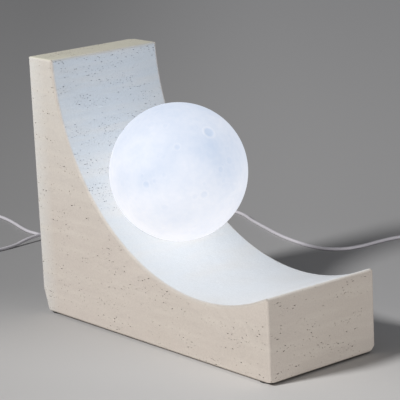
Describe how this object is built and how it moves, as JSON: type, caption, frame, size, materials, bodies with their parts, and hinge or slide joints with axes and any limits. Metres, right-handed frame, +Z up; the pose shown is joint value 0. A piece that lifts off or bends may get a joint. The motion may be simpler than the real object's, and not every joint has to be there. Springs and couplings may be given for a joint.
{
  "type": "globe table lamp",
  "caption": "Table lamp with a glowing globe resting in the curved slide of an L-shaped stone body, on a thin lead with a rocker switch and a plug.",
  "frame": {"origin": "middle of the lamp's footprint, at floor level, without the lead", "axes": "+X from the back of the column towards the toe of the slide, +Y across the width, +Z up from the floor"},
  "size_m": [0.6765, 0.4265, 0.235],
  "materials": {
    "cast_stone": "honed, pitted",
    "globe_plastic": "matte opal",
    "dome_plastic": "matte opal",
    "light_plastic": "matte",
    "dark_plastic": "matte",
    "white_plastic": "satin",
    "green_plastic": "satin",
    "circuit_board": "satin",
    "dark_rubber": "matte",
    "white_rubber": "satin",
    "sink_aluminium": "satin",
    "insert_brass": "satin",
    "screw_steel": "zinc plated",
    "spring_steel": "bright",
    "chip_phosphor": "matte"
  },
  "bodies": {
    "base": {"stone_body": "cast_stone", "threaded_inserts": "insert_brass", "seat_cup": "light_plastic", "seat_screws": "screw_steel", "seat_gasket": "dark_rubber", "neck_clips": "spring_steel", "heat_sink": "sink_aluminium", "sink_screws": "screw_steel", "light_board": "sink_aluminium", "light_chips": "chip_phosphor", "board_screws": "screw_steel", "light_dome": "dome_plastic", "wire_grommet": "dark_rubber", "light_leads": "dark_plastic", "driver_board": "circuit_board", "driver_parts": "dark_plastic", "driver_screws": "screw_steel", "terminal_blocks": "green_plastic", "terminal_screws": "screw_steel", "cord_cores": "dark_plastic", "cord_inner_end": "white_plastic", "cord_clamp": "light_plastic", "clamp_screws": "screw_steel", "cord_bush": "white_rubber", "base_cover": "dark_plastic", "cover_screws": "screw_steel", "foot_pads": "dark_rubber", "lamp_cord": "white_plastic", "switch_lower_case": "white_plastic", "switch_upper_case": "white_plastic", "switch_screws": "screw_steel", "switch_contacts": "insert_brass", "switch_cord_ends": "white_plastic", "plug_cord": "white_plastic", "cord_coil": "white_plastic", "coil_tie": "dark_plastic", "plug_tail": "white_plastic", "plug_grip": "white_rubber", "plug_shell": "screw_steel", "plug_tongue": "dark_plastic", "plug_contacts": "insert_brass"},
    "globe": {"globe_shell": "globe_plastic", "globe_neck": "light_plastic"},
    "rocker": {"switch_rocker": "white_plastic"}
  },
  "joints": [
    {"name": "globe_lift", "type": "slide", "parent": "base", "child": "globe", "axis": [0.6626, 0, 0.749], "range_m": [0, 0.06]},
    {"name": "switch_press", "type": "hinge", "parent": "base", "child": "rocker", "pos_m": [-0.514, 0.036, 0.01], "axis": [-1, 0, 0], "range_deg": [-16, 0]}
  ]
}
